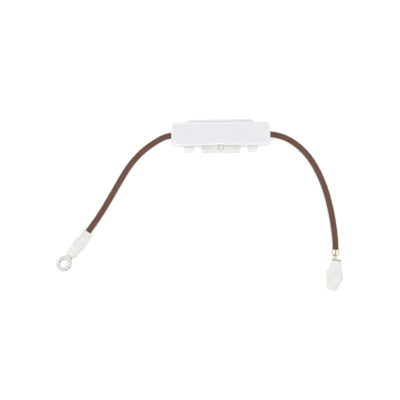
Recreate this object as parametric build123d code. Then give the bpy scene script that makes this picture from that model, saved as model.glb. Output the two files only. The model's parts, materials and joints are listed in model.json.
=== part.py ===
from build123d import *
import math
import os

# High-voltage in-line fuse: a hinged nylon holder round a 6 x 40 mm glass fuse, with two
# insulated leads, one ending in a ring terminal and one in a push-on receptacle.
# Millimetres. X runs along the holder, +Y is the hinge side, -Y the latch side, +Z is up.
# The origin is the centre of the holder's underside.

# Holder box
holder_length = 62.8
holder_width = 14.8
base_height = 7.3
lid_height = 7.2
parting_gap = 0.1
shell_wall = 1.3
corner_radius = 2.6
edge_radius = 1.1
rib_thickness = 1.2
rib_setback = 0.3
root_overlap = 0.4
strain_rib_thickness = 0.8
strain_rib_gap = 0.15

# Along the holder, from its end wall inwards
wall_room = 1.7
grip_length = 2.6
grip_gap = 0.2
barrel_gap = 0.6
barrel_length = 3.6
clip_ramp = 1.7
clip_end_margin = 0.3

# Fuse, as long as those leave room for: 40 mm
cap_diameter = 6.0
cap_length = 6.5
cap_wall = 0.25
cap_end = 0.4
cap_edge = 0.12
glass_wall = 0.6
seat_fit = 0.03
element_diameter = 0.35
bead_diameter = 2.6
bead_length = 1.2
spring_length = 12.0
spring_diameter = 3.0
spring_wire = 0.5
spring_turns = 7
spring_steps = 16
spring_sides = 8

# Leads and crimps
lead_diameter = 3.85
strand_diameter = 1.3
exit_clearance = 0.35
grip_clearance = 0.06
seam_width = 0.25
strip_width = 2.2
lobe_offset_share = 0.5
lobe_rise_share = 0.42
lobe_size_share = 0.6
notch_depth_share = 0.8
notch_angle = 100
bend_share = 0.45

# Fuse clips
clip_sheet = 0.4
clip_length = 5.4
clip_mouth_angle = 50
clip_lip = 1.1
clip_foot_width = 3.2
pedestal_width = 4.4
cradle_gap = 5.5
cradle_clearance = 0.2
notch_clearance = 0.3

# Lid lip that seats inside the base
lip_depth = 1.2
lip_wall = 0.8
lip_root = 1.5
lip_clearance = 0.2

# Latch along the -Y side
flange_width = 25.4
flange_depth = 5.1
flange_thickness = 1.5
flange_corner = 0.8
flange_rim = 0.7
flange_rim_height = 0.5
flange_rib_x = 8.3
flange_rib = 0.5
flange_rib_height = 0.3
window_width = 3.5
window_reach = 2.2
window_groove = 0.8
relief_x = 11.3
relief_size = 1.6
hook_width = 1.5
hook_thickness = 1.0
hook_nose = 0.75
hook_nose_land = 0.4
hook_nose_height = 1.2
hook_clearance = 0.15
ledge_thickness = 1.4
ledge_inset = 0.7
gusset_height = 3.0
gusset_thickness = 1.2
gusset_spacing = 8.6

# Small thumb tabs on the base
tab_x = 20.2
tab_width = 6.7
tab_depth = 4.4
tab_corner = 1.0

# Living hinge along the +Y side
hinge_length = 42.6
leaf_depth = 1.75
leaf_thickness = 1.4
leaf_left_corner = 0.3
leaf_right_corner = 1.4
hinge_offset = 0.75
web_thickness = 0.3
web_height = 1.3
web_slack = 0.25

# Bare label panel on the lid
panel_length = 15.0
panel_width = 8.0
panel_y = 0.9
panel_depth = 0.2
panel_corner = 0.6

# Moulding marks in the lid's top: the gate near its right end, two pins near its left end
gate_mark_inset = 2.9
gate_mark_y = 3.0
gate_mark_diameter = 0.8
gate_mark_depth = 0.5
pin_mark_inset = 9.4
pin_mark_spacing = 2.5
pin_mark_y = 4.9
pin_mark_diameter = 0.6
pin_mark_depth = 0.25

# Ring terminal for an M5 stud
ring_sheet = 0.8
ring_diameter = 10.0
ring_hole_diameter = 5.3
ring_barrel_length = 5.5
ring_reach = 10.4
ring_roll = 18.0
ring_edge = 0.15
tongue_width = 4.4
neck_width = 2.9
tongue_join_angle = 60

# Push-on receptacle for a 6.3 x 0.8 mm tab
receptacle_sheet = 0.4
tab_slot_width = 6.3
tab_slot_height = 0.8
socket_length = 7.6
socket_neck = 5.2
receptacle_grip_length = 3.2
detent_diameter = 1.6
detent_height = 0.25
curl_diameter = 2.6
curl_gap = 1.6

# Insulating sleeves: stations of distance from the neck end, width and thickness
sleeve_wall = 0.5
ring_sleeve_stations = (
    (0.0, 6.8, 6.4),
    (4.6, 6.8, 6.4),
    (6.8, 8.3, 7.0),
    (10.6, 8.5, 7.0),
    (12.7, 6.8, 6.4),
    (15.6, 7.4, 6.3),
    (18.8, 7.0, 6.2),
)
receptacle_sleeve_stations = (
    (0.0, 6.8, 6.4),
    (5.8, 7.9, 6.6),
    (8.4, 10.8, 7.0),
    (12.2, 11.5, 7.0),
    (14.0, 9.4, 6.6),
    (16.0, 8.7, 6.4),
    (19.8, 7.5, 6.2),
)
receptacle_neck_cut = 9
receptacle_mouth_cut = 6

# Where the two leads end and which way they point there, in plan and downwards
ring_end = (-90.7, -67.8)
ring_heading = 231.2
ring_sleeve_overlap = 8.8
receptacle_end = (71.8, -77.6)
receptacle_heading = 266.0
receptacle_pitch = 4.0
receptacle_end_height = 4.8
receptacle_sleeve_neck = (72.74, -80.22)
receptacle_sleeve_heading = 261.1
receptacle_sleeve_pitch = 5.0

# Derived sizes
lead_radius = lead_diameter / 2
strand_radius = strand_diameter / 2
cap_radius = cap_diameter / 2
tube_radius = cap_radius - cap_wall - seat_fit
axis_height = base_height + parting_gap / 2
lid_bottom = base_height + parting_gap
lid_top = lid_bottom + lid_height
half_length = holder_length / 2
half_width = holder_width / 2
cavity_length = holder_length - 2 * shell_wall
cavity_width = holder_width - 2 * shell_wall
clip_radius = cap_radius + seat_fit
barrel_radius = strand_radius + seat_fit
grip_outer = half_length - shell_wall - wall_room
insulation_end = grip_outer - grip_length - grip_gap
barrel_inner = insulation_end - barrel_gap - barrel_length
clip_outer = barrel_inner - clip_ramp
clip_inner = clip_outer - clip_length
fuse_length = 2 * (clip_outer + clip_end_margin)
cradle_x = fuse_length / 2 - cap_length - cradle_gap
strain_rib_x = grip_outer + strain_rib_gap + strain_rib_thickness / 2
partition_x = barrel_inner + barrel_length / 2
lip_half_length = grip_outer - rib_setback
leaf_edge = half_width + leaf_depth
hinge_y = leaf_edge + hinge_offset
ring_axis_height = max(station[2] for station in ring_sleeve_stations) / 2
sleeve_mouth_height = receptacle_sleeve_stations[-1][2] / 2

# Route of each lead: its corner points, from inside the holder to the end of the insulation
ring_end_point = (*ring_end, ring_axis_height)
left_route = [
    (-insulation_end, 0, axis_height),
    (-32.8, 0, axis_height),
    (-40.6, -3.5, 6.7),
    (-49.6, -9.6, 5.3),
    (-57.4, -17.6, 3.7),
    (-63.6, -27.0, 2.5),
    (-69.6, -37.3, 2.0),
    (-77.0, -49.6, 2.3),
    (-84.5, -60.1, ring_axis_height),
    ring_end_point,
]
receptacle_end_point = (*receptacle_end, receptacle_end_height)
right_route = [
    (insulation_end, 0, axis_height),
    (34.2, 0, axis_height),
    (45.6, -4.4, 5.9),
    (55.6, -13.4, 3.8),
    (62.2, -24.6, 2.4),
    (66.9, -36.8, 2.0),
    (69.8, -49.6, 2.3),
    (71.6, -62.4, 3.7),
    (72.2, -71.6, 5.2),
    receptacle_end_point,
]


def lay(origin, heading, pitch=0):
    """Place for a piece whose own +X axis points along a heading and down by a pitch."""
    return Pos(*origin) * Rot(0, 0, heading) * Rot(0, pitch, 0)


def rod(radius, start, end, height=0.0):
    """Round bar along X between two stations."""
    return Pos((start + end) / 2, 0, height) * Rot(0, 90, 0) * Cylinder(radius, end - start)


def block(x_range, y_range, z_range):
    """Box between pairs of limits."""
    size = [high - low for low, high in (x_range, y_range, z_range)]
    middle = [(high + low) / 2 for low, high in (x_range, y_range, z_range)]
    return Pos(*middle) * Box(*size)


def rib_profile(points, x_middle, thickness):
    """Plate of a given thickness across X with an outline in Y and Z."""
    outline = Plane.YZ * make_face(Polyline(*points, close=True))
    return Pos(x_middle - thickness / 2, 0, 0) * extrude(outline, thickness)


def tray(height):
    """Open tray with rounded corners, its outer face at z = 0."""
    outside = extrude(RectangleRounded(holder_length, holder_width, corner_radius), height)
    outside = fillet(outside.edges().group_by(Axis.Z)[0], edge_radius)
    inner_corner = corner_radius - shell_wall
    inside = extrude(RectangleRounded(cavity_length, cavity_width, inner_corner), height)
    return outside - Pos(0, 0, shell_wall) * inside


def cross_rib(x, thickness, height):
    """Rib across the tray, from its floor up to just under the parting plane."""
    reach = cavity_width / 2 + root_overlap
    span = (x - thickness / 2, x + thickness / 2)
    return block(span, (-reach, reach), (root_overlap, height - rib_setback))


def crimp_reach(radius, sheet):
    """Farthest reach of an open-barrel crimp from the axis of its wire."""
    outer = radius + sheet
    lobe_reach = outer * (math.hypot(lobe_offset_share, lobe_rise_share) + lobe_size_share)
    return max(lobe_reach, math.hypot(strip_width / 2, outer))


def moulded_half(height):
    """Tray with the cross ribs and wire notches that both halves share."""
    axis_z = height + parting_gap / 2
    wall_middle = half_length - shell_wall / 2
    barrel_space = crimp_reach(barrel_radius, clip_sheet) + notch_clearance
    ribs = (
        (strain_rib_x, strain_rib_thickness, lead_radius + grip_clearance),
        (partition_x, rib_thickness, barrel_space),
        (cradle_x, rib_thickness, tube_radius + cradle_clearance),
    )
    half = tray(height)
    for side in (-1, 1):
        for x, thickness, radius in ribs:
            half += cross_rib(side * x, thickness, height)
            half -= rod(radius, side * x - thickness, side * x + thickness, axis_z)
        exit_radius = lead_radius + exit_clearance
        half -= rod(exit_radius, side * wall_middle - shell_wall, side * wall_middle + shell_wall, axis_z)
    return half


def wall_plate(width, depth, z_range, side, corners):
    """Plate standing out of a long wall, with its two outer corners rounded: left, then right."""
    inner = half_width - root_overlap
    plate = block((-width / 2, width / 2), (inner, half_width + depth), z_range)
    outer_edges = plate.edges().filter_by(Axis.Z).group_by(Axis.Y)[-1].sort_by(Axis.X)
    plate = fillet(outer_edges[0], corners[0])
    outer_edges = plate.edges().filter_by(Axis.Z)
    outer_edges = outer_edges.filter_by(lambda edge: edge.center().Y > half_width + depth / 2)
    plate = fillet(outer_edges.sort_by(Axis.X)[-1], corners[1])
    return plate if side > 0 else mirror(plate, Plane.XZ)


def holder_base():
    """Lower half: fuse trough, clip pedestals, latch ledge, thumb tabs and hinge leaf."""
    base = moulded_half(base_height)
    pedestal_top = axis_height - clip_radius - clip_sheet
    for side in (-1, 1):
        span = sorted((side * clip_inner, side * clip_outer))
        base += block(span, (-pedestal_width / 2, pedestal_width / 2), (root_overlap, pedestal_top))
    channel_half = lip_half_length + lip_clearance
    channel_inner = cavity_width / 2 - 2 * lip_clearance - lip_wall
    for side in (-1, 1):
        across = sorted((side * channel_inner, side * cavity_width / 2))
        channel_floor = base_height - lip_depth - lip_clearance
        base -= block((-channel_half, channel_half), across, (channel_floor, base_height))
    ledge_width = flange_width - 2 * ledge_inset
    ledge_depth = flange_depth - ledge_inset
    ledge_span = (base_height - ledge_thickness, base_height)
    base += wall_plate(ledge_width, ledge_depth, ledge_span, -1, (flange_corner, flange_corner))
    for step in (-1, 0, 1):
        wall_y = -half_width + root_overlap
        outer_y = -half_width - ledge_depth + ledge_inset
        gusset = [
            (wall_y, ledge_span[0] + root_overlap),
            (outer_y, ledge_span[0] + root_overlap),
            (outer_y, ledge_span[0]),
            (wall_y, ledge_span[0] - gusset_height),
        ]
        base += rib_profile(gusset, step * gusset_spacing, gusset_thickness)
    tab = wall_plate(tab_width, tab_depth, ledge_span, -1, (tab_corner, tab_corner))
    for side in (-1, 1):
        base += Pos(side * tab_x, 0, 0) * tab
    leaf_span = (base_height - leaf_thickness, base_height)
    base += wall_plate(hinge_length, leaf_depth, leaf_span, 1, (leaf_left_corner, leaf_right_corner))
    return base


def seating_lip(side):
    """Lip of the lid that drops inside the base's long wall."""
    wall_face = cavity_width / 2
    outer = wall_face - lip_clearance
    inner = outer - lip_wall
    outline = [
        (side * inner, lid_bottom - lip_depth),
        (side * outer, lid_bottom - lip_depth),
        (side * outer, lid_bottom),
        (side * (wall_face + root_overlap), lid_bottom),
        (side * (wall_face + root_overlap), lid_bottom + lip_root),
        (side * inner, lid_bottom + lip_root),
    ]
    return rib_profile(outline, 0, 2 * lip_half_length)


def latch_flange():
    """Wide thumb flange of the lid, with its outer rim and two low ribs."""
    top = lid_bottom + flange_thickness
    flange = wall_plate(flange_width, flange_depth, (lid_bottom, top), -1, (flange_corner, flange_corner))
    outer_y = -half_width - flange_depth
    rim_half = flange_width / 2 - flange_corner
    rim_z = (top - root_overlap, top + flange_rim_height)
    flange += block((-rim_half, rim_half), (outer_y, outer_y + flange_rim), rim_z)
    for side in (-1, 1):
        rib_x = (side * flange_rib_x - flange_rib / 2, side * flange_rib_x + flange_rib / 2)
        rib_z = (top - root_overlap, top + flange_rib_height)
        flange += block(rib_x, (outer_y + flange_rim / 2, -half_width + root_overlap), rib_z)
    return flange


def top_mark(x, y, diameter, depth):
    """Small round dimple that a gate or an ejector pin leaves in the lid's top."""
    return Pos(x, y, lid_top) * Cylinder(diameter / 2, 2 * depth)


def holder_lid():
    """Upper half: the same tray turned over, with the seating lip, latch flange and hinge leaf."""
    lid = Pos(0, 0, lid_top) * Rot(180, 0, 0) * moulded_half(lid_height)
    for side in (-1, 1):
        lid += seating_lip(side)
    lid += latch_flange()
    leaf_span = (lid_bottom, lid_bottom + leaf_thickness)
    lid += wall_plate(hinge_length, leaf_depth, leaf_span, 1, (leaf_left_corner, leaf_right_corner))
    window_x = (-window_width / 2, window_width / 2)
    window_y = (-half_width - window_reach, -half_width + window_groove)
    lid -= block(window_x, window_y, (lid_bottom, lid_top))
    for side in (-1, 1):
        relief_span = (side * relief_x - relief_size / 2, side * relief_x + relief_size / 2)
        flange_span = (lid_bottom, lid_bottom + flange_thickness)
        lid -= block(relief_span, (-half_width - relief_size, -half_width), flange_span)
    panel = extrude(RectangleRounded(panel_length, panel_width, panel_corner), panel_depth)
    lid -= Pos(0, panel_y, lid_top - panel_depth) * panel
    pin_x = pin_mark_inset - half_length
    lid -= top_mark(half_length - gate_mark_inset, gate_mark_y, gate_mark_diameter, gate_mark_depth)
    lid -= top_mark(pin_x, pin_mark_y, pin_mark_diameter, pin_mark_depth)
    lid -= top_mark(pin_x + pin_mark_spacing, pin_mark_y, pin_mark_diameter, pin_mark_depth)
    return lid


def latch_hook():
    """Springy hook that stands on the base's ledge and catches over the lid's flange."""
    back = -half_width - window_reach + hook_clearance + hook_thickness
    front = back - hook_thickness
    catch = lid_bottom + flange_thickness + hook_clearance
    outline = [
        (back, base_height),
        (front, base_height),
        (front, catch),
        (front - hook_nose, catch),
        (front - hook_nose, catch + hook_nose_land),
        (front, catch + hook_nose_height),
        (back, catch + hook_nose_height),
    ]
    return rib_profile(outline, 0, hook_width)


def hinge_web():
    """Thin folded strip that joins the outer edges of the two hinge leaves."""
    low = axis_height - web_height / 2
    high = axis_height + web_height / 2
    crest = hinge_y - web_slack
    outer = ThreePointArc((leaf_edge, low), (crest, axis_height), (leaf_edge, high))
    inner_low = (leaf_edge, low + web_thickness)
    inner_high = (leaf_edge, high - web_thickness)
    inner = ThreePointArc(inner_high, (crest - web_thickness, axis_height), inner_low)
    ends = [Line(outer @ 1, inner @ 0), Line(inner @ 1, outer @ 0)]
    outline = Plane.YZ * make_face([outer, ends[0], inner, ends[1]])
    web_length = hinge_length - 2 * leaf_right_corner
    return Pos(-web_length / 2, 0, 0) * extrude(outline, web_length)


def fuse_cap(side):
    """Drawn metal cap over one end of the glass tube."""
    end = fuse_length / 2
    cap = rod(cap_radius, end - cap_length, end) - rod(cap_radius - cap_wall, end - cap_length, end - cap_end)
    cap = chamfer(cap.edges().group_by(Axis.X)[-1], cap_edge)
    return Pos(0, 0, axis_height) * (cap if side > 0 else mirror(cap, Plane.YZ))


def fuse_tube():
    """Glass tube between the two caps."""
    end = fuse_length / 2 - cap_end - seat_fit
    return Pos(0, 0, axis_height) * (rod(tube_radius, -end, end) - rod(tube_radius - glass_wall, -end, end))


def fuse_element():
    """Fine wire from the left cap to the bead that the spring pulls on."""
    start = -fuse_length / 2 + cap_end + seat_fit
    spring_start = fuse_length / 2 - cap_end - seat_fit - spring_length
    bead_start = spring_start - seat_fit - bead_length
    element = rod(element_diameter / 2, start, bead_start)
    element += rod(bead_diameter / 2, bead_start, bead_start + bead_length)
    return Pos(0, 0, axis_height) * element


def fuse_spring():
    """Small coil spring between the bead and the right cap, each turn in short straight steps."""
    coil_radius = (spring_diameter - spring_wire) / 2
    height = spring_length - spring_wire
    steps = spring_turns * spring_steps
    points = []
    for step in range(steps + 1):
        turn = 2 * math.pi * step / spring_steps
        points.append((coil_radius * math.cos(turn), coil_radius * math.sin(turn), height * step / steps))
    path = Polyline(*points)
    section = Plane(path @ 0, z_dir=path % 0) * RegularPolygon(spring_wire / 2, spring_sides)
    coil = sweep(section, path, transition=Transition.RIGHT)
    start = fuse_length / 2 - cap_end - seat_fit - spring_length + spring_wire / 2
    return Pos(start, 0, axis_height) * Rot(0, 90, 0) * coil


def strip(points, sheet, width):
    """Folded strip of sheet metal along X, from the stations and heights of its lower face."""
    upper = [(x, z + sheet) for x, z in reversed(points)]
    outline = Plane.XZ * make_face(Polyline(*points, *upper, close=True))
    return Pos(0, width / 2, 0) * extrude(outline, width)


def wings(radius, sheet, start, length):
    """Two wings of sheet rolled over round a wire, so that their tips meet in a groove on top."""
    outer = radius + sheet
    profile = Sketch() + Circle(outer)
    for side in (-1, 1):
        lobe_place = Pos(side * lobe_offset_share * outer, lobe_rise_share * outer)
        profile += lobe_place * Circle(lobe_size_share * outer)
    notch_low = radius + (1 - notch_depth_share) * sheet
    notch_half = (2 * outer - notch_low) * math.tan(math.radians(notch_angle / 2))
    notch = make_face(Polyline((0, notch_low), (notch_half, 2 * outer), (-notch_half, 2 * outer), close=True))
    seam = Pos(0, outer) * Rectangle(seam_width, 2 * outer)
    profile = profile - Circle(radius) - notch - seam
    return Pos(start, 0, 0) * (Plane.YZ * extrude(profile, length))


def crimp(sheet, grip):
    """Open-barrel crimp: insulation wings, strand wings and the strip that carries them."""
    low_grip = -lead_radius - seat_fit - sheet
    low_barrel = -barrel_radius - sheet
    carrier = [
        (-grip_gap - grip, low_grip),
        (seat_fit, low_grip),
        (barrel_gap, low_barrel),
        (barrel_gap + barrel_length, low_barrel),
    ]
    insulation_wings = wings(lead_radius + seat_fit, sheet, -grip_gap - grip, grip)
    strand_wings = wings(barrel_radius, sheet, barrel_gap, barrel_length)
    return insulation_wings + strand_wings + strip(carrier, sheet, strip_width)


def fuse_clip(side):
    """Stamped clip: two sprung cheeks round the fuse cap, crimped to its lead."""
    outer = clip_radius + clip_sheet
    end = insulation_end - clip_outer
    cheeks = rod(outer, end, end + clip_length) - rod(clip_radius, end, end + clip_length)
    mouth_y = 2 * outer * math.sin(math.radians(clip_mouth_angle))
    mouth_z = 2 * outer * math.cos(math.radians(clip_mouth_angle))
    mouth = [(0, 0), (mouth_y, mouth_z), (-mouth_y, mouth_z)]
    cheeks -= rib_profile(mouth, end + clip_length / 2, clip_length)
    for turn in (-clip_mouth_angle, clip_mouth_angle):
        lip = block((end, end + clip_length), (-clip_sheet / 2, clip_sheet / 2), (-clip_sheet / 4, clip_lip))
        reach = clip_radius + clip_sheet / 2
        place = (0, -reach * math.sin(math.radians(turn)), reach * math.cos(math.radians(turn)))
        cheeks += Pos(*place) * Rot(turn / 2, 0, 0) * lip
    low_barrel = -barrel_radius - clip_sheet
    foot_y = (-clip_foot_width / 2, clip_foot_width / 2)
    foot = block((end, end + clip_length), foot_y, (-outer, -outer + clip_sheet))
    foot -= rod(clip_radius, end, end + clip_length)
    neck = [(barrel_gap + barrel_length, low_barrel), (end, -outer), (end + clip_length, -outer)]
    neck_strip = strip(neck, clip_sheet, strip_width)
    neck_strip -= rod(clip_radius, end - clip_end_margin, end + clip_length)
    clip = crimp(clip_sheet, grip_length) + cheeks + foot + neck_strip
    clip = Pos(insulation_end, 0, axis_height) * Rot(0, 0, 180) * clip
    return clip if side > 0 else mirror(clip, Plane.YZ)


def ring_terminal():
    """Ring tongue with a closed barrel; local x = 0 is the end of the insulation."""
    outer = barrel_radius + ring_sheet
    barrel_end = barrel_gap + ring_barrel_length
    ring_x = barrel_end + ring_reach
    ring_radius = ring_diameter / 2
    join_y = ring_radius * math.sin(math.radians(tongue_join_angle))
    plate = Pos(ring_x, 0) * Circle(ring_radius)
    tongue = make_face(Polyline(
        (barrel_end - ring_sheet, neck_width / 2),
        (barrel_end + ring_sheet, neck_width / 2),
        (ring_x - ring_radius, tongue_width / 2),
        (ring_x, join_y),
        (ring_x, -join_y),
        (ring_x - ring_radius, -tongue_width / 2),
        (barrel_end + ring_sheet, -neck_width / 2),
        (barrel_end - ring_sheet, -neck_width / 2),
        close=True,
    ))
    plate = extrude(plate + tongue - Pos(ring_x, 0) * Circle(ring_hole_diameter / 2), ring_sheet)
    plate = chamfer(plate.edges().group_by(Axis.Z)[-1], ring_edge)
    barrel = rod(outer, barrel_gap, barrel_end)
    terminal = Pos(0, 0, -outer) * plate + barrel
    return terminal - rod(barrel_radius, 0, barrel_end + ring_sheet)


def socket_section():
    """Section of the receptacle: a flat floor whose two sides roll over to press on the tab."""
    radius = curl_diameter / 2
    side_x = tab_slot_width / 2 + receptacle_sheet - radius
    middle = radius
    section = Pos(0, receptacle_sheet / 2) * Rectangle(2 * side_x, receptacle_sheet)
    for side in (-1, 1):
        curl = Pos(side * side_x, middle) * (Circle(radius) - Circle(radius - receptacle_sheet))
        curl -= Pos(side * (side_x - radius), middle) * Rectangle(2 * radius, 2 * curl_diameter)
        flap_length = side_x - curl_gap / 2
        flap_x = side * (side_x + curl_gap / 2) / 2
        flap = Pos(flap_x, curl_diameter - receptacle_sheet / 2) * Rectangle(flap_length, receptacle_sheet)
        tip_low = receptacle_sheet + tab_slot_height
        tip_height = curl_diameter - tip_low
        tip_x = side * (curl_gap + receptacle_sheet) / 2
        tip = Pos(tip_x, tip_low + tip_height / 2) * Rectangle(receptacle_sheet, tip_height)
        section += [curl, flap, tip]
    return section


def receptacle():
    """Push-on receptacle with its open-barrel crimp; local x = 0 is the end of the insulation."""
    barrel_end = barrel_gap + barrel_length
    low_barrel = -barrel_radius - receptacle_sheet
    floor = -curl_diameter / 2
    neck_end = barrel_end + socket_neck
    neck = [(barrel_end, low_barrel), (neck_end - socket_neck / 2, floor), (neck_end, floor)]
    shoulder = make_face(Polyline(
        (neck_end - socket_neck / 2, strip_width / 2),
        (neck_end, tab_slot_width / 2),
        (neck_end, -tab_slot_width / 2),
        (neck_end - socket_neck / 2, -strip_width / 2),
        close=True,
    ))
    shoulder = Pos(0, 0, floor) * extrude(shoulder, receptacle_sheet)
    socket = Pos(neck_end, 0, floor) * (Plane.YZ * extrude(socket_section(), socket_length))
    detent_low = floor + receptacle_sheet - detent_height
    detent = Cone(detent_diameter / 2, detent_diameter / 4, 2 * detent_height)
    socket += Pos(neck_end + socket_length / 2, 0, detent_low + detent_height) * detent
    neck_strip = strip(neck, receptacle_sheet, strip_width)
    return crimp(receptacle_sheet, receptacle_grip_length) + neck_strip + shoulder + socket


def sleeve_body(stations, inset, overrun):
    """Loft through the sleeve's stations, drawn in by the wall where an inset is given."""
    sections = []
    last = len(stations) - 1
    for index, (x, width, thickness) in enumerate(stations):
        shift = -overrun if index == 0 else (overrun if index == last else 0)
        wide = width - 2 * inset
        thick = thickness - 2 * inset
        corner = min(wide, thick) / 2 - 2 * sleeve_wall
        outline = Plane.YZ * RectangleRounded(wide, thick, corner)
        sections.append(Pos(x + shift, 0, 0) * outline)
    return loft(sections, ruled=True)


def sleeve(stations, neck_cut=0, mouth_cut=0):
    """Thin insulating sleeve: neck, wide band and mouth, its ends cut square or askew."""
    body = sleeve_body(stations, 0, 0) - sleeve_body(stations, sleeve_wall, sleeve_wall)
    length = stations[-1][0]
    reach = 2 * max(width for _, width, _ in stations)
    neck_lean = stations[0][2] / 2 * math.tan(math.radians(neck_cut))
    mouth_lean = stations[-1][1] / 2 * math.tan(math.radians(mouth_cut))
    cutter = Pos(-reach / 2, 0, 0) * Box(reach, reach, reach)
    if neck_cut:
        body -= Pos(neck_lean, 0, 0) * Rot(0, neck_cut, 0) * cutter
    if mouth_cut:
        body -= Pos(length - mouth_lean, 0, 0) * Rot(0, 0, 180 - mouth_cut) * cutter
    return body


def lead(name, route):
    """Insulated lead as straight runs joined by arcs as large as the runs allow."""
    points = [Vector(*point) for point in route]
    radii = []
    for before, corner, after in zip(points, points[1:], points[2:]):
        turn = math.radians((corner - before).get_angle(after - corner))
        shorter = min((corner - before).length, (after - corner).length)
        radii.append(bend_share * shorter / math.tan(turn / 2))
    path = FilletPolyline(*points, radius=radii)
    section = Plane(path @ 0, z_dir=path % 0) * Circle(lead_radius)
    tube = sweep(section, path)
    expected = math.pi * lead_radius**2 * path.length
    print(name, "length", round(path.length, 1), "radii", [round(radius, 1) for radius in radii],
          "volume ratio", round(tube.volume / expected, 4))
    return tube


def strands(length):
    """Stripped strand bundle, from the end of the insulation through its barrel."""
    return rod(strand_radius, 0, length)


def build():
    """All pieces of the part, by name."""
    ring_place = lay(ring_end_point, ring_heading)
    terminal_place = ring_place * Rot(ring_roll, 0, 0)
    receptacle_place = lay(receptacle_end_point, receptacle_heading, receptacle_pitch)
    ring_sleeve_place = ring_place * Pos(-ring_sleeve_overlap, 0, 0)
    drop = math.sin(math.radians(receptacle_sleeve_pitch)) * receptacle_sleeve_stations[-1][0]
    neck_point = (*receptacle_sleeve_neck, sleeve_mouth_height + drop)
    sleeve_place = lay(neck_point, receptacle_sleeve_heading, receptacle_sleeve_pitch)
    bare_length = barrel_gap + barrel_length
    inner_strands = Pos(insulation_end, 0, axis_height) * Rot(0, 0, 180) * strands(bare_length)
    receptacle_sleeve = sleeve(receptacle_sleeve_stations, receptacle_neck_cut, receptacle_mouth_cut)
    return {
        "holder_base": holder_base(),
        "holder_lid": holder_lid(),
        "latch_hook": latch_hook(),
        "hinge_web": hinge_web(),
        "fuse_tube": fuse_tube(),
        "fuse_cap_left": fuse_cap(-1),
        "fuse_cap_right": fuse_cap(1),
        "fuse_element": fuse_element(),
        "fuse_spring": fuse_spring(),
        "fuse_clip_left": fuse_clip(-1),
        "fuse_clip_right": fuse_clip(1),
        "clip_strands_left": mirror(inner_strands, Plane.YZ),
        "clip_strands_right": inner_strands,
        "left_lead": lead("left_lead", left_route),
        "right_lead": lead("right_lead", right_route),
        "ring_terminal": terminal_place * ring_terminal(),
        "ring_strands": ring_place * strands(barrel_gap + ring_barrel_length),
        "ring_sleeve": ring_sleeve_place * sleeve(ring_sleeve_stations),
        "receptacle": receptacle_place * receptacle(),
        "receptacle_strands": receptacle_place * strands(bare_length),
        "receptacle_sleeve": sleeve_place * receptacle_sleeve,
    }


os.makedirs("parts", exist_ok=True)
for node, shape in build().items():
    export_step(shape, f"parts/{node}.step")
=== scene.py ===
import bmesh
import bpy
import json
import math
from mathutils import Matrix, Vector, noise


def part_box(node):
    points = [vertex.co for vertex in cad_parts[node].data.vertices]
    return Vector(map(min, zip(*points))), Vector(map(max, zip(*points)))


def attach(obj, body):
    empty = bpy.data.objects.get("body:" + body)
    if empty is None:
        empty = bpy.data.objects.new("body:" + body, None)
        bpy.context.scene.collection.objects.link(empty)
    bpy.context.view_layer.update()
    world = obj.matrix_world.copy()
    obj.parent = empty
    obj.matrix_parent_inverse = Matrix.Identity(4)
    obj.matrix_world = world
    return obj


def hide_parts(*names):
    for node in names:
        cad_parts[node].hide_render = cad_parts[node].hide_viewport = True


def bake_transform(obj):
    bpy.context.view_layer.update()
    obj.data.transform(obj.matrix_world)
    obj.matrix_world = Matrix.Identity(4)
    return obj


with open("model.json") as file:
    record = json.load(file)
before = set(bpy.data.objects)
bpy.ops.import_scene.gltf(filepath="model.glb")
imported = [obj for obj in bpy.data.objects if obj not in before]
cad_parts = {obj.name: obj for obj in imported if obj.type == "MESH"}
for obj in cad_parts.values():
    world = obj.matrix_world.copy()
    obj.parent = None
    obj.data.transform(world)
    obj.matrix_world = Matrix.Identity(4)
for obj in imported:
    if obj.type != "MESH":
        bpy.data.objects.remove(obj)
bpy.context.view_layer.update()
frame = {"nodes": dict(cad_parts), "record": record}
cadNodes = frame["nodes"]


# Helpers for materials and node trees
noiseSpan = (0.35, 0.65)  # most values of a noise texture lie between these


def linearTone(red, green, blue):  # 0 to 255 as a screen shows it, to linear light
    steps = [value / 255 for value in (red, green, blue)]
    return tuple(s / 12.92 if s <= 0.04045 else ((s + 0.055) / 1.055) ** 2.4 for s in steps) + (1.0,)


def addNode(tree, kind, inputs=None, **settings):  # inputs are numbers, or sockets or nodes that feed them
    node = tree.nodes.new(kind)
    for key, value in settings.items():
        setattr(node, key, value)
    for key, value in (inputs or {}).items():
        if isinstance(value, bpy.types.Node):
            value = value.outputs[0]
        if isinstance(value, bpy.types.NodeSocket):
            tree.links.new(value, node.inputs[key])
        else:
            node.inputs[key].default_value = value
    return node


def mathNode(tree, operation, first, second=0.0):
    return addNode(tree, "ShaderNodeMath", {0: first, 1: second}, operation=operation).outputs[0]


def startMaterial(name, sockets):
    material = bpy.data.materials.new(name)
    material.use_nodes = True
    tree = material.node_tree
    tree.nodes.clear()
    shader = addNode(tree, "ShaderNodeBsdfPrincipled", sockets)
    addNode(tree, "ShaderNodeOutputMaterial", {"Surface": shader})
    return material, tree, shader


# Noise with features about size metres wide
def grain(tree, size, detail=2.0, stretch=(1, 1, 1), attribute=None):
    if attribute:
        place = addNode(tree, "ShaderNodeAttribute", attribute_name=attribute).outputs["Vector"]
    else:
        place = addNode(tree, "ShaderNodeTexCoord").outputs["Object"]
    scale = [part / size for part in stretch]
    mapping = addNode(tree, "ShaderNodeMapping", {"Vector": place, "Scale": scale})
    speckle = addNode(tree, "ShaderNodeTexNoise", {"Vector": mapping, "Scale": 1.0, "Detail": detail})
    return speckle.outputs["Fac"]


def remap(tree, value, low, high, start=noiseSpan[0], end=noiseSpan[1]):
    ends = {"Value": value, "From Min": start, "From Max": end, "To Min": low, "To Max": high}
    return addNode(tree, "ShaderNodeMapRange", ends).outputs["Result"]


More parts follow.
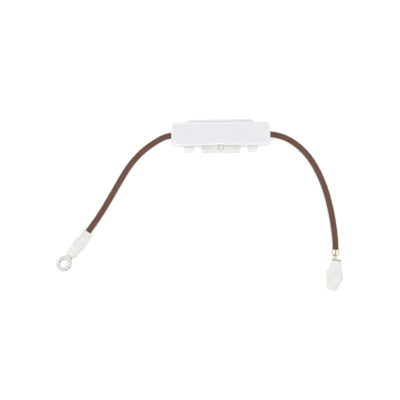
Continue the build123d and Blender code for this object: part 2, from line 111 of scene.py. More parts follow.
def within(tree, value, low, high, fade):  # 1 between low and high, and 0 a fade beyond them
    rising = remap(tree, value, 0, 1, low - fade, low)
    falling = remap(tree, value, 1, 0, high, high + fade)
    return mathNode(tree, "MULTIPLY", rising, falling)


def mixTones(tree, factor, first, second):
    return addNode(tree, "ShaderNodeMix", {0: factor, 6: first, 7: second}, data_type="RGBA").outputs[2]


def blotches(tree, pattern, tones):  # two tones, mixed by a noise
    return mixTones(tree, remap(tree, pattern, 0, 1), linearTone(*tones[0]), linearTone(*tones[1]))


def paint(tree, shader, base, pattern, roughness):  # roughness runs between two values, by a noise
    tree.links.new(base, shader.inputs["Base Color"])
    tree.links.new(remap(tree, pattern, *roughness), shader.inputs["Roughness"])


def relief(tree, shader, layers):  # layers of height and depth in metres
    normal = {}
    for height, depth in layers:
        bump = addNode(tree, "ShaderNodeBump", {"Height": height, "Distance": depth, **normal})
        normal = {"Normal": bump}
    tree.links.new(bump.outputs["Normal"], shader.inputs["Normal"])


# Camera, looking down on the part as in the photo
shot = {
    "lens": 250.0,
    "sensor": 36.0,
    "frameWidth": 0.2544,
    "aim": (-0.01367, -0.04150, 0.005),
    "elevation": 86.0,
    "roll": 0.695,
    "clipShare": 0.01,
}


def placeCamera():
    data = bpy.data.cameras.new("photoCamera")
    data.lens = shot["lens"]
    data.sensor_width = shot["sensor"]
    distance = shot["frameWidth"] * shot["lens"] / shot["sensor"]
    data.clip_start = distance * shot["clipShare"]
    data.clip_end = distance / shot["clipShare"]
    camera = bpy.data.objects.new("photoCamera", data)
    bpy.context.scene.collection.objects.link(camera)
    lift = math.radians(shot["elevation"])
    roll = math.radians(shot["roll"])
    back = Vector((0, -math.cos(lift), math.sin(lift)))
    level = Vector((1, 0, 0))
    rise = back.cross(level)
    right = level * math.cos(roll) - rise * math.sin(roll)
    up = rise * math.cos(roll) + level * math.sin(roll)
    turn = Matrix((right, up, back)).transposed().to_4x4()
    camera.matrix_world = Matrix.Translation(Vector(shot["aim"]) + back * distance) @ turn
    bpy.context.scene.camera = camera
    print("camera", round(distance, 3), "m away")


placeCamera()

# Pale floor, lit a little from below, and soft studio light
studio = {
    "floorHalf": 3.0,
    "floorDrop": 0.00004,
    "floorTone": (250, 250, 250),
    "floorGlow": 0.15,
    "floorRoughness": 0.7,
    "floorSpecular": 0.2,
    "skyTone": (255, 255, 255),
    "skyStrength": 0.9,
    "keyStrength": 0.98,
    "keySpread": 70.0,
    "keyLean": (2.0, 5.0),
    "streakStrength": 0.35,
    "streakSpread": 24.0,
    "streakLean": (20.0, -55.0),
}


def buildStudio():
    scene = bpy.context.scene
    scene.view_settings.view_transform = "Standard"
    world = bpy.data.worlds.new("studioSky")
    scene.world = world
    world.use_nodes = True
    sky = world.node_tree.nodes["Background"]
    sky.inputs["Color"].default_value = linearTone(*studio["skyTone"])
    sky.inputs["Strength"].default_value = studio["skyStrength"]
    half, level = studio["floorHalf"], -studio["floorDrop"]
    corners = [(-half, -half, level), (half, -half, level), (half, half, level), (-half, half, level)]
    mesh = bpy.data.meshes.new("paleFloor")
    mesh.from_pydata(corners, [], [(0, 1, 2, 3)])
    floor = bpy.data.objects.new("paleFloor", mesh)
    scene.collection.objects.link(floor)
    tone = linearTone(*studio["floorTone"])
    looks = {
        "Base Color": tone,
        "Roughness": studio["floorRoughness"],
        "Specular IOR Level": studio["floorSpecular"],
        "Emission Color": tone,
        "Emission Strength": studio["floorGlow"],
    }
    mesh.materials.append(startMaterial("paleFloor", looks)[0])
    for light in ("key", "streak"):
        data = bpy.data.lights.new(light + "Light", "SUN")
        data.energy = studio[light + "Strength"]
        data.angle = math.radians(studio[light + "Spread"])
        lamp = bpy.data.objects.new(light + "Light", data)
        lamp.rotation_euler = [math.radians(angle) for angle in (*studio[light + "Lean"], 0)]
        scene.collection.objects.link(lamp)
    print("studio ready")


buildStudio()


# Helpers for geometry
def newTree(name, sizes):  # a tree that takes named sizes, with their sockets and its last node
    tree = bpy.data.node_groups.new(name, "GeometryNodeTree")
    for direction in ("INPUT", "OUTPUT"):
        tree.interface.new_socket("Geometry", in_out=direction, socket_type="NodeSocketGeometry")
    for label, value in sizes.items():
        kind = "NodeSocketInt" if isinstance(value, int) else "NodeSocketFloat"
        socket = tree.interface.new_socket(label, in_out="INPUT", socket_type=kind)
        socket.default_value = value
    return tree, addNode(tree, "NodeGroupInput").outputs, addNode(tree, "NodeGroupOutput")


def storeValue(tree, geometry, name, value, kind):  # keeps a value on each point, under a name
    inputs = {"Geometry": geometry, "Name": name, "Value": value}
    return addNode(tree, "GeometryNodeStoreNamedAttribute", inputs, data_type=kind, domain="POINT")


def circleProfile(tree, sides, radius):
    return addNode(tree, "GeometryNodeCurvePrimitiveCircle", {"Resolution": sides, "Radius": radius})


def solidTube(tree, curve, profile):
    inputs = {"Curve": curve, "Profile Curve": profile, "Fill Caps": True}
    return addNode(tree, "GeometryNodeCurveToMesh", inputs)


def finishTree(tree, last, output, material):
    realised = addNode(tree, "GeometryNodeRealizeInstances", {0: last})
    smooth = addNode(tree, "GeometryNodeSetShadeSmooth", {"Geometry": realised})
    painted = addNode(tree, "GeometryNodeSetMaterial", {"Geometry": smooth, "Material": material})
    tree.links.new(painted.outputs[0], output.inputs[0])
    return tree


def addPiece(name, mesh):
    mesh.name = name
    piece = bpy.data.objects.new(name, mesh)
    bpy.context.scene.collection.objects.link(piece)
    return piece


def emptyHost(name):
    return addPiece(name, bpy.data.meshes.new(name))


def growMesh(host, tree, sizes, name, material):  # a plain mesh of what the tree makes from its host
    modifier = host.modifiers.new(tree.name, "NODES")
    modifier.node_group = tree
    for item in tree.interface.items_tree:
        if item.item_type == "SOCKET" and item.in_out == "INPUT" and item.name in sizes:
            modifier[item.identifier] = sizes[item.name]
    graph = bpy.context.evaluated_depsgraph_get()
    mesh = bpy.data.meshes.new_from_object(host.evaluated_get(graph), depsgraph=graph)
    host.modifiers.remove(modifier)
    bpy.data.objects.remove(host)
    mesh.materials.clear()
    mesh.materials.append(material)
    return addPiece(name, mesh)


def placeOnBase(piece, node):  # the piece takes the place of a solid of the base
    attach(piece, "base")
    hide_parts(node)
    print(piece.name, len(piece.data.polygons), "faces")


# The two insulated leads, along the same route as their solids
leads = {
    "diameter": 0.00385,
    "sides": 28,
    "ringSpacing": 0.0009,
    "waviness": 0.00003,
    "waveSize": 0.006,
    "skinStretch": 0.06,
    "lineSteps": 16,
    "exitX": 0.0314,
    "exitHeight": 0.00735,
    "leftLength": 0.0983,
    "rightLength": 0.1018,
}
leftRoute = [
    (-0.0256, 0.0, 0.00735),
    (-0.0328, 0.0, 0.00735),
    (-0.0406, -0.0035, 0.0067),
    (-0.0496, -0.0096, 0.0053),
    (-0.0574, -0.0176, 0.0037),
    (-0.0636, -0.0270, 0.0025),
    (-0.0696, -0.0373, 0.0020),
    (-0.0770, -0.0496, 0.0023),
    (-0.0845, -0.0601, 0.0035),
    (-0.0907, -0.0678, 0.0035),
]
rightRoute = [
    (0.0256, 0.0, 0.00735),
    (0.0342, 0.0, 0.00735),
    (0.0456, -0.0044, 0.0059),
    (0.0556, -0.0134, 0.0038),
    (0.0622, -0.0246, 0.0024),
    (0.0669, -0.0368, 0.0020),
    (0.0698, -0.0496, 0.0023),
    (0.0716, -0.0624, 0.0037),
    (0.0722, -0.0716, 0.0052),
    (0.0718, -0.0776, 0.0048),
]


def routeLine(name, route):  # smooth line of a lead, as a mesh of points and edges
    data = bpy.data.curves.new(name, "CURVE")
    data.dimensions = "3D"
    data.resolution_u = leads["lineSteps"]
    spline = data.splines.new("NURBS")
    spline.points.add(len(route) - 1)
    for point, place in zip(spline.points, route):
        point.co = (*place, 1)
    spline.order_u = 3
    spline.use_endpoint_u = True
    holder = bpy.data.objects.new(name, data)
    bpy.context.scene.collection.objects.link(holder)
    graph = bpy.context.evaluated_depsgraph_get()
    line = bpy.data.meshes.new_from_object(holder.evaluated_get(graph), depsgraph=graph)
    bpy.data.objects.remove(holder)
    return line


silicone = {
    "specular": 0.3,
    "index": 1.45,
    "patchSize": 0.004,
    "patchDetail": 3.0,
    "patchTones": ((80, 51, 39), (91, 61, 48)),
    "lineSize": 0.00045,
    "lineDepth": 0.00004,
    "lineTone": (101, 70, 57),
    "grainSize": 0.00012,
    "grainDepth": 0.00001,
    "roughness": (0.32, 0.44),
}


def siliconeSkin():
    looks = {"Specular IOR Level": silicone["specular"], "IOR": silicone["index"]}
    material, tree, shader = startMaterial("brownSilicone", looks)
    patches = grain(tree, silicone["patchSize"], silicone["patchDetail"])
    lines = grain(tree, silicone["lineSize"], attribute="skin")
    fine = grain(tree, silicone["grainSize"])
    base = blotches(tree, patches, silicone["patchTones"])
    lined = mixTones(tree, remap(tree, lines, 0, 1), base, linearTone(*silicone["lineTone"]))
    paint(tree, shader, lined, fine, silicone["roughness"])
    relief(tree, shader, [(lines, silicone["lineDepth"]), (fine, silicone["grainDepth"])])
    return material


def leadSkinTree(sizes, material):
    tree, given, output = newTree("leadSkin", sizes)
    line = addNode(tree, "GeometryNodeMeshToCurve", {"Mesh": given["Geometry"]})
    spacing = {"Curve": line, "Length": given["Ring spacing"]}
    spaced = addNode(tree, "GeometryNodeResampleCurve", spacing, mode="LENGTH")
    travel = addNode(tree, "GeometryNodeSplineParameter").outputs["Length"]
    marked = storeValue(tree, spaced, "travel", travel, "FLOAT")
    ring = circleProfile(tree, given["Sides"], given["Radius"])
    place = addNode(tree, "GeometryNodeInputPosition")
    tube = solidTube(tree, marked, storeValue(tree, ring, "skin", place, "FLOAT_VECTOR"))
    # skin is a place round the lead and, squeezed, along it, so that its fine lines run with it
    skin = addNode(tree, "GeometryNodeInputNamedAttribute", {"Name": "skin"}, data_type="FLOAT_VECTOR")
    along = addNode(tree, "GeometryNodeInputNamedAttribute", {"Name": "travel"}, data_type="FLOAT")
    lift = addNode(tree, "ShaderNodeCombineXYZ", {"Z": mathNode(tree, "MULTIPLY", along, given["Stretch"])})
    joined = addNode(tree, "ShaderNodeVectorMath", {0: skin, 1: lift}, operation="ADD")
    wrapped = storeValue(tree, tube, "skin", joined, "FLOAT_VECTOR")
    pitch = mathNode(tree, "DIVIDE", 1.0, given["Wave size"])
    wave = addNode(tree, "ShaderNodeTexNoise", {"Vector": place, "Scale": pitch, "Detail": 1.0})
    centred = mathNode(tree, "SUBTRACT", wave, 0.5)
    sized = mathNode(tree, "MULTIPLY", centred, given["Waviness"])
    normal = addNode(tree, "GeometryNodeInputNormal")
    push = addNode(tree, "ShaderNodeVectorMath", {0: normal, "Scale": sized}, operation="SCALE")
    waved = addNode(tree, "GeometryNodeSetPosition", {"Geometry": wrapped, "Offset": push})
    return finishTree(tree, waved, output, material)


leadSizes = {
    "Radius": leads["diameter"] / 2,
    "Sides": leads["sides"],
    "Ring spacing": leads["ringSpacing"],
    "Waviness": leads["waviness"],
    "Wave size": leads["waveSize"],
    "Stretch": leads["skinStretch"],
}
leadMaterial = siliconeSkin()
leadTree = leadSkinTree(leadSizes, leadMaterial)


def buildLead(name, node, route):
    line = routeLine(name + "Route", route)
    path = [tuple(vertex.co) for vertex in line.vertices]
    piece = growMesh(addPiece(name + "Line", line), leadTree, leadSizes, name, leadMaterial)
    placeOnBase(piece, node)
    return piece, path


leadLeft, leftPath = buildLead("leadLeft", "left_lead", leftRoute)
leadRight, rightPath = buildLead("leadRight", "right_lead", rightRoute)


# Finishes of the solids that stay as they are
nylonLooks = {
    "specular": 0.2,
    "index": 1.5,
    "softWeight": 0.8,
    "softDepth": 0.0014,
    "softSpread": (1.0, 0.95, 0.9),
    "cloudSize": 0.009,
    "cloudDepth": 0.00008,
    "grainSize": 0.00022,
    "grainDetail": 3.0,
    "grainDepth": 0.000012,
    "roughness": (0.5, 0.62),
    "topTones": ((214, 215, 217), (217, 218, 220)),
    # fold tone: painted light, lighter than the top so that the hinge fold and leaves lose their shade
    "foldPaintedLight": (222, 224, 226),
    # latch tone: painted light, lighter and warmer than the top, lifting the low flange and tabs out of
    # their shade
    "latchPaintedLight": (222, 222, 219),
    # recess tone: near white, painted light that fills the shade in the flange's window, groove and reliefs
    "recessPaintedLight": (252, 251, 248),
}
# places where the nylon gets painted light: the fold side, the latch side and the flange's recesses
nylonPlaces = {  # from, to and fade, in metres: y of both sides, then z, y and x of the flange's recesses
    "foldSide": (0.0085, 0.02, 0.0005),
    "latchSide": (-0.02, -0.0078, 0.0004),
    "flangeRise": (0.0072, 0.0088, 0.0001),
    "windowReach": (-0.0098, -0.007, 0.0001),
    "grooveReach": (-0.0076, -0.0065, 0.0001),
    "windowWidth": (-0.001, 0.0018, 0.0002),
    "reliefWidth": (0.0104, 0.0121, 0.0002),
}
sleeveLooks = {
    "specular": 0.4,
    "index": 1.45,
    "softWeight": 0.6,
    "softDepth": 0.001,
    "softSpread": (1.0, 1.0, 0.97),
    "cloudSize": 0.004,
    "cloudDetail": 3.0,
    "cloudDepth": 0.0002,
    "grainSize": 0.0003,
    "grainDepth": 0.00001,
    "roughness": (0.3, 0.42),
    "tones": ((210, 209, 206), (216, 215, 212)),
}
metalLooks = {
    "patchDetail": 3.0,
    "patchDepth": 0.00001,
    "scratchesPerPatch": 6,
    "scratchStretch": (1, 0.2, 1),
    "scratchDepth": 0.000003,
    "roughnessSpan": 0.12,
    # cut edge tone: bare metal at punched edges, darkened further as a painted dark reflection
    "bareCutAndShadeTone": (78, 74, 68),
    "bareCutAndShadeSpan": (0.25, 0.7),
}
glassLooks = {
    "index": 1.47,
    "smudgeSize": 0.002,
    "roughness": (0.02, 0.07),
    "tone": (244, 250, 248),
}
ringNormal = (-0.240829, 0.193631, 0.951057)  # across the ring's sheet, which lies turned in its sleeve


def startPlastic(name, looks):  # plastic that light gets some way into
    return startMaterial(name, {
        "Specular IOR Level": looks["specular"],
        "IOR": looks["index"],
        "Subsurface Weight": looks["softWeight"],
        "Subsurface Scale": looks["softDepth"],
        "Subsurface Radius": looks["softSpread"],
    })


def whiteNylon():
    material, tree, shader = startPlastic("whiteNylon", nylonLooks)
    clouds = grain(tree, nylonLooks["cloudSize"])
    fine = grain(tree, nylonLooks["grainSize"], nylonLooks["grainDetail"])
    coords = addNode(tree, "ShaderNodeTexCoord")
    parts = addNode(tree, "ShaderNodeSeparateXYZ", {0: coords.outputs["Object"]}).outputs
    along, across, height = mathNode(tree, "ABSOLUTE", parts["X"]), parts["Y"], parts["Z"]
    lines = {"foldSide": across, "latchSide": across, "flangeRise": height, "windowReach": across,
             "grooveReach": across, "windowWidth": along, "reliefWidth": along}
    mask = {place: within(tree, lines[place], *nylonPlaces[place]) for place in nylonPlaces}
    # the flange's window, groove and reliefs: the mask for painted light that fills their shade
    window = mathNode(tree, "MULTIPLY", mask["flangeRise"], mask["windowReach"])
    middle = mathNode(tree, "MAXIMUM", window, mask["grooveReach"])
    notch = mathNode(tree, "MULTIPLY", middle, mask["windowWidth"])
    reliefs = mathNode(tree, "MULTIPLY", window, mask["reliefWidth"])
    recessLightMask = mathNode(tree, "MAXIMUM", notch, reliefs)
    base = blotches(tree, clouds, nylonLooks["topTones"])
    # painted light: the fold side is made lighter against its shade
    base = mixTones(tree, mask["foldSide"], base, linearTone(*nylonLooks["foldPaintedLight"]))
    # painted light: the latch side, with its flange and tabs, is made lighter and warmer against its shade
    base = mixTones(tree, mask["latchSide"], base, linearTone(*nylonLooks["latchPaintedLight"]))
    # painted light: the recesses are made near white in place of their shade
    base = mixTones(tree, recessLightMask, base, linearTone(*nylonLooks["recessPaintedLight"]))
    paint(tree, shader, base, fine, nylonLooks["roughness"])
    relief(tree, shader, [(fine, nylonLooks["grainDepth"]), (clouds, nylonLooks["cloudDepth"])])
    return material


def softSleeve():
    material, tree, shader = startPlastic("softSleeve", sleeveLooks)
    clouds = grain(tree, sleeveLooks["cloudSize"], sleeveLooks["cloudDetail"])
    fine = grain(tree, sleeveLooks["grainSize"])
    paint(tree, shader, blotches(tree, clouds, sleeveLooks["tones"]), fine, sleeveLooks["roughness"])
    relief(tree, shader, [(clouds, sleeveLooks["cloudDepth"]), (fine, sleeveLooks["grainDepth"])])
    return material


def plainMetal(name, bright, dull, roughness, size, sheet=None):  # sheet: its normal, where cut edges show
    material, tree, shader = startMaterial(name, {"Metallic": 1.0})
    patches = grain(tree, size, metalLooks["patchDetail"])
    scratches = grain(tree, size / metalLooks["scratchesPerPatch"], stretch=metalLooks["scratchStretch"])
    base = blotches(tree, patches, (bright, dull))
    if sheet:  # cut edges, whose normal lies in the sheet, are darker: bare metal at the cut, deepened by a painted dark reflection
        normal = addNode(tree, "ShaderNodeTexCoord").outputs["Normal"]
        facing = addNode(tree, "ShaderNodeVectorMath", {0: normal, 1: sheet}, operation="DOT_PRODUCT")
        squared = mathNode(tree, "MULTIPLY", facing.outputs["Value"], facing.outputs["Value"])
        flat = remap(tree, squared, 0, 1, *metalLooks["bareCutAndShadeSpan"])
        base = mixTones(tree, flat, linearTone(*metalLooks["bareCutAndShadeTone"]), base)
    paint(tree, shader, base, scratches, (roughness, roughness + metalLooks["roughnessSpan"]))
    relief(tree, shader, [(scratches, metalLooks["scratchDepth"]), (patches, metalLooks["patchDepth"])])
    return material


def clearGlass():
    looks = {
        "Transmission Weight": 1.0,
        "IOR": glassLooks["index"],
        "Base Color": linearTone(*glassLooks["tone"]),
    }
    material, tree, shader = startMaterial("clearGlass", looks)
    smudges = remap(tree, grain(tree, glassLooks["smudgeSize"]), *glassLooks["roughness"])
    tree.links.new(smudges, shader.inputs["Roughness"])
    return material


nylon = whiteNylon()
sleevePlastic = softSleeve()
metals = {  # name, brighter and duller tone, roughness, size of the patches, and the sheet's normal
    "plated_caps": ("nickelCaps", (214, 213, 208), (200, 198, 192), 0.2, 0.002),
    "fuse_wire": ("fuseWire", (196, 190, 178), (180, 172, 160), 0.3, 0.001),
    "spring_steel": ("springSteel", (178, 180, 184), (160, 162, 166), 0.25, 0.001),
    "clip_brass": ("tinnedBrass", (216, 211, 195), (200, 194, 177), 0.27, 0.0015),
    "tinned_copper": ("tinnedCopper", (231, 231, 226), (214, 214, 208), 0.26, 0.0015, ringNormal),
    "tinned_strands": ("tinnedStrands", (220, 217, 208), (198, 194, 184), 0.3, 0.0008),
}
finishes = {
    "nylon": nylon,
    "sleeve_plastic": sleevePlastic,
    "lead_silicone": leadMaterial,
    "fuse_glass": clearGlass(),
}
for slot, look in metals.items():
    finishes[slot] = plainMetal(*look)
for entry in frame["record"]["subparts"]:
    shell = cadNodes[entry["node"]].data
    shell.materials.clear()
    shell.materials.append(finishes[entry["material_slot"]])
print("finishes set on", len(cadNodes), "solids")

# Soft insulating sleeves over the two terminals
sleeves = {
    "wall": 0.0005,
    "around": 84,
    "rowStep": 0.00035,
    "squareness": 2.6,
    "cutReach": 0.004,
    "rimRound": 0.00012,
    "dentSize": 0.0042,
    "dentDepth": 0.0002,
    "dentShift": 40,
}
ringSleeve = {
    "neck": (-0.085186, -0.060942, 0.0035),
    "heading": 231.2,
    "pitch": 0.0,
    "neckCut": 0.0,
    "mouthCut": 0.0,
    "stations": (  # distance from the neck, width, thickness, shift to the right of the heading
        (0.0, 0.0070, 0.0064, -0.0005),
        (0.0046, 0.0071, 0.0064, -0.0006),
        (0.0056, 0.0078, 0.0066, -0.0007),
        (0.0070, 0.0085, 0.0070, -0.0007),
        (0.0088, 0.0089, 0.0070, -0.0007),
        (0.0106, 0.0088, 0.0070, -0.0007),
        (0.0117, 0.0080, 0.0067, -0.0007),
        (0.0128, 0.0075, 0.0064, -0.0007),
        (0.0155, 0.0077, 0.0063, -0.0006),
        (0.0175, 0.0077, 0.0063, -0.0005),
        (0.0188, 0.0073, 0.0062, -0.0005),
    ),
}
receptacleSleeve = {
    "neck": (0.07274, -0.08022, 0.004826),
    "heading": 261.1,
    "pitch": 5.0,
    "neckCut": 9.0,
    "mouthCut": 3.5,
    "stations": (
        (0.0, 0.0071, 0.0064, 0.0),
        (0.0040, 0.0077, 0.0065, 0.0),
        (0.0062, 0.0085, 0.0066, 0.0001),
        (0.0072, 0.0098, 0.0068, 0.0002),
        (0.0086, 0.0111, 0.0070, 0.0001),
        (0.0108, 0.0117, 0.0070, 0.0),
        (0.0122, 0.0117, 0.0070, -0.0002),
        (0.0132, 0.0106, 0.0068, -0.0002),
        (0.0142, 0.0097, 0.0066, -0.0002),
        (0.0158, 0.0094, 0.0064, 0.0),
        (0.0174, 0.0085, 0.0063, 0.0001),
        (0.0202, 0.0080, 0.0062, 0.0001),
    ),
}


def layAt(origin, heading, pitch=0.0, roll=0.0):  # own +X points along a heading and down by a pitch
    turn = Matrix.Rotation(math.radians(heading), 4, "Z") @ Matrix.Rotation(math.radians(pitch), 4, "Y")
    return Matrix.Translation(origin) @ turn @ Matrix.Rotation(math.radians(roll), 4, "X")


def easeAlong(stations, place, column):  # smooth curve through the stations that never overshoots them
    spots = [station[0] for station in stations]
    values = [station[column] for station in stations]
    rises = [(b - a) / (q - p) for a, b, p, q in zip(values, values[1:], spots, spots[1:])]
    slopes = [rises[0]]
    for before, after in zip(rises, rises[1:]):
        slopes.append(2 * before * after / (before + after) if before * after > 0 else 0.0)
    slopes.append(rises[-1])
    index = max(i for i in range(len(spots) - 1) if i == 0 or place >= spots[i])
    gap = spots[index + 1] - spots[index]
    t = min(max((place - spots[index]) / gap, 0.0), 1.0)
    first = values[index] * (1 + 2 * t) * (1 - t) ** 2 + slopes[index] * gap * t * (1 - t) ** 2
    second = values[index + 1] * t * t * (3 - 2 * t) - slopes[index + 1] * gap * t * t * (1 - t)
    return first + second


def sleevePoint(form, place, inset, angle):
    length = form["stations"][-1][0]
    halfWide = easeAlong(form["stations"], place, 1) / 2
    halfThick = easeAlong(form["stations"], place, 2) / 2
    aside = easeAlong(form["stations"], place, 3)
    power = sleeves["squareness"]
    across, up = math.cos(angle), math.sin(angle)
    reach = (abs(across) ** power + abs(up) ** power) ** (-1 / power)
    spot = Vector((place, halfWide * reach * across, halfThick * reach * up))
    dent = noise.noise(spot / sleeves["dentSize"] + Vector(form["neck"]) * sleeves["dentShift"])
    shrink = inset + sleeves["dentDepth"] * (0.5 + 0.5 * dent)
    spot.y = (halfWide - shrink) * reach * across - aside
    spot.z = (halfThick - shrink) * reach * up
    nearNeck = max(0.0, 1 - place / sleeves["cutReach"])
    nearMouth = max(0.0, 1 - (length - place) / sleeves["cutReach"])
    neckSlope = math.tan(math.radians(form["neckCut"]))
    mouthSlope = math.tan(math.radians(form["mouthCut"]))
    spot.x += nearNeck * neckSlope * (form["stations"][0][2] / 2 + spot.z)
    spot.x += nearMouth * mouthSlope * (spot.y - form["stations"][-1][1] / 2)
    return spot


def buildSleeve(name, node, form, material):
    length = form["stations"][-1][0]
    wall, lip = sleeves["wall"], sleeves["rimRound"]
    count = round((length - 2 * lip) / sleeves["rowStep"])
    along = [lip + (length - 2 * lip) * step / count for step in range(count + 1)]
    rows = [(place, 0.0) for place in along] + [(length, wall / 2)]
    rows += [(place, wall) for place in reversed(along)] + [(0.0, wall / 2)]
    shell = bmesh.new()
    loops = []
    for place, inset in rows:
        angles = [2 * math.pi * step / sleeves["around"] for step in range(sleeves["around"])]
        loops.append([shell.verts.new(sleevePoint(form, place, inset, angle)) for angle in angles])
    for loop, following in zip(loops, loops[1:] + loops[:1]):
        for i in range(len(loop)):
            j = (i + 1) % len(loop)
            shell.faces.new((loop[i], loop[j], following[j], following[i])).smooth = True
    if shell.calc_volume(signed=True) < 0:
        bmesh.ops.reverse_faces(shell, faces=shell.faces)
    shell.transform(layAt(form["neck"], form["heading"], form["pitch"]))
    mesh = bpy.data.meshes.new(name)
    shell.to_mesh(mesh)
    shell.free()
    mesh.materials.append(material)
    placeOnBase(addPiece(name, mesh), node)


buildSleeve("sleeveRing", "ring_sleeve", ringSleeve, sleevePlastic)
buildSleeve("sleeveReceptacle", "receptacle_sleeve", receptacleSleeve, sleevePlastic)

# Stranded wire where each lead is stripped: one wire, six round it and twelve round those
bareWires = {
    "wireRadius": 0.00013,
    "layerRadius": 0.00026,
    "sides": 8,
    "steps": 24,
    "twistPitch": 0.009,
    "layers": 3,
    "perLayer": 6,
    "mergeReach": 0.00001,
    "shortLength": 0.0042,
    "ringLength": 0.0061,
}
ringEnd = {"origin": (-0.0907, -0.0678, 0.0035), "heading": 231.2, "pitch": 0.0}
receptacleEnd = {"origin": (0.0718, -0.0776, 0.0048), "heading": 266.0, "pitch": 4.0}
leftClipEnd = {"origin": (-0.0256, 0.0, 0.00735), "heading": 0.0, "pitch": 0.0}
rightClipEnd = {"origin": (0.0256, 0.0, 0.00735), "heading": 180.0, "pitch": 0.0}


def strandSizes(length):
    return {
        "Length": length,
        "Wire radius": bareWires["wireRadius"],
        "Layer radius": bareWires["layerRadius"],
        "Twist": 2 * math.pi / bareWires["twistPitch"],
        "Sides": bareWires["sides"],
        "Steps": bareWires["steps"],
    }


def strandTree(sizes, material):
    tree, given, output = newTree("bareStrands", sizes)
    spots = addNode(tree, "GeometryNodeJoinGeometry")
    for layer in range(bareWires["layers"]):
        grown = mathNode(tree, "MULTIPLY", given["Layer radius"], float(layer))
        around = {"Vertices": max(3, bareWires["perLayer"] * layer), "Radius": grown}
        ring = addNode(tree, "GeometryNodeMeshCircle", around)
        merging = {"Geometry": ring, "Distance": bareWires["mergeReach"]}
        merged = addNode(tree, "GeometryNodeMergeByDistance", merging)
        tree.links.new(merged.outputs[0], spots.inputs[0])
    straight = {"Direction": (0, 0, 1), "Length": given["Length"]}
    line = addNode(tree, "GeometryNodeCurvePrimitiveLine", straight, mode="DIRECTION")
    stepped = addNode(tree, "GeometryNodeResampleCurve", {"Curve": line, "Count": given["Steps"]})
    placed = addNode(tree, "GeometryNodeInstanceOnPoints", {"Points": spots, "Instance": stepped})
    loose = addNode(tree, "GeometryNodeRealizeInstances", {0: placed})
    place = addNode(tree, "GeometryNodeInputPosition")
    height = addNode(tree, "ShaderNodeSeparateXYZ", {0: place}).outputs["Z"]
    turning = {"Vector": place, "Angle": mathNode(tree, "MULTIPLY", height, given["Twist"])}
    turned = addNode(tree, "ShaderNodeVectorRotate", turning, rotation_type="Z_AXIS")
    twisted = addNode(tree, "GeometryNodeSetPosition", {"Geometry": loose, "Position": turned})
    wires = solidTube(tree, twisted, circleProfile(tree, given["Sides"], given["Wire radius"]))
    return finishTree(tree, wires, output, material)


strandMetal = finishes["tinned_strands"]
strandNodes = strandTree(strandSizes(bareWires["shortLength"]), strandMetal)


def buildStrands(name, node, end, length):
    piece = growMesh(emptyHost(name + "Host"), strandNodes, strandSizes(length), name, strandMetal)
    lieAlongX = Matrix.Rotation(math.radians(90), 4, "Y")
    piece.data.transform(layAt(end["origin"], end["heading"], end["pitch"]) @ lieAlongX)
    placeOnBase(piece, node)


buildStrands("strandsRing", "ring_strands", ringEnd, bareWires["ringLength"])
buildStrands("strandsReceptacle", "receptacle_strands", receptacleEnd, bareWires["shortLength"])
buildStrands("strandsClipLeft", "clip_strands_left", leftClipEnd, bareWires["shortLength"])
buildStrands("strandsClipRight", "clip_strands_right", rightClipEnd, bareWires["shortLength"])

# Each lead's name and length are printed
def declareLead(piece, length):
    print(piece.name, "cord of", length, "m")


declareLead(leadLeft, leads["leftLength"])
declareLead(leadRight, leads["rightLength"])

# Coil spring inside the fuse
fuseSpring = {"turns": 7.0, "coilRadius": 0.00125, "wireRadius": 0.00025, "stepsPerTurn": 32, "sides": 12}


def springTree(sizes, material):
    tree, given, output = newTree("coilSpring", sizes)
    turns = {
        "Resolution": given["Steps per turn"],
        "Rotations": given["Turns"],
        "Start Radius": given["Coil radius"],
        "End Radius": given["Coil radius"],
        "Height": given["Height"],
    }
    coil = addNode(tree, "GeometryNodeCurveSpiral", turns)
    wire = solidTube(tree, coil, circleProfile(tree, given["Sides"], given["Wire radius"]))
    return finishTree(tree, wire, output, material)


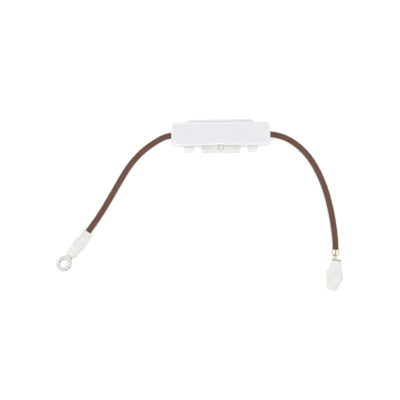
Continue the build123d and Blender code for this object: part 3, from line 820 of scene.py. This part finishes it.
def buildSpring():
    low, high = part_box("fuse_spring")
    metal = finishes["spring_steel"]
    sizes = {
        "Turns": fuseSpring["turns"],
        "Coil radius": fuseSpring["coilRadius"],
        "Wire radius": fuseSpring["wireRadius"],
        "Height": high[0] - low[0] - 2 * fuseSpring["wireRadius"],
        "Steps per turn": fuseSpring["stepsPerTurn"],
        "Sides": fuseSpring["sides"],
    }
    piece = growMesh(emptyHost("springHost"), springTree(sizes, metal), sizes, "coilSpring", metal)
    start = (low[0] + fuseSpring["wireRadius"], 0, (low[2] + high[2]) / 2)
    piece.data.transform(Matrix.Translation(start) @ Matrix.Rotation(math.radians(90), 4, "Y"))
    placeOnBase(piece, "fuse_spring")


buildSpring()

# Thin nylon fold between the two hinge leaves
hingeFold = {
    "steps": 20,
    "lengthSteps": 60,
    "wall": 0.0003,
    "sharpAngle": 40,
    "blendLow": 0.0069,
    "blendHigh": 0.0078,
}


def arcPoints(edgeY, crestY, middle, half, steps):  # circle through both edges and the crest, in Y and Z
    rise = crestY - edgeY
    radius = (half * half + rise * rise) / (2 * rise)
    span = math.asin(half / radius)
    if rise > radius:
        span = math.pi - span
    centre = crestY - radius
    angles = [span * (2 * step / steps - 1) for step in range(steps + 1)]
    return [(centre + radius * math.cos(angle), middle + radius * math.sin(angle)) for angle in angles]


def buildHingeFold():
    low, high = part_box("hinge_web")
    middle = (low[2] + high[2]) / 2
    half = (high[2] - low[2]) / 2
    wall = hingeFold["wall"]
    outer = arcPoints(low[1], high[1], middle, half, hingeFold["steps"])
    inner = arcPoints(low[1], high[1] - wall, middle, half - wall, hingeFold["steps"])
    outline = outer + inner[::-1]
    fold = bmesh.new()
    rings = []
    for step in range(hingeFold["lengthSteps"] + 1):
        x = low[0] + (high[0] - low[0]) * step / hingeFold["lengthSteps"]
        rings.append([fold.verts.new((x, y, z)) for y, z in outline])
    for ring, following in zip(rings, rings[1:]):
        for i in range(len(ring)):
            j = (i + 1) % len(ring)
            fold.faces.new((ring[i], ring[j], following[j], following[i])).smooth = True
    for ring in (rings[0], rings[-1]):
        for i in range(hingeFold["steps"]):
            fold.faces.new((ring[i], ring[i + 1], ring[-i - 2], ring[-i - 1]))
    bmesh.ops.recalc_face_normals(fold, faces=fold.faces)
    mesh = bpy.data.meshes.new("hingeFold")
    fold.to_mesh(mesh)
    fold.free()
    mesh.materials.append(nylon)
    mesh.set_sharp_from_angle(angle=math.radians(hingeFold["sharpAngle"]))
    piece = addPiece("hingeFold", mesh)
    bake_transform(piece)
    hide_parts("hinge_web")
    print("hingeFold", len(mesh.polygons), "faces")


buildHingeFold()
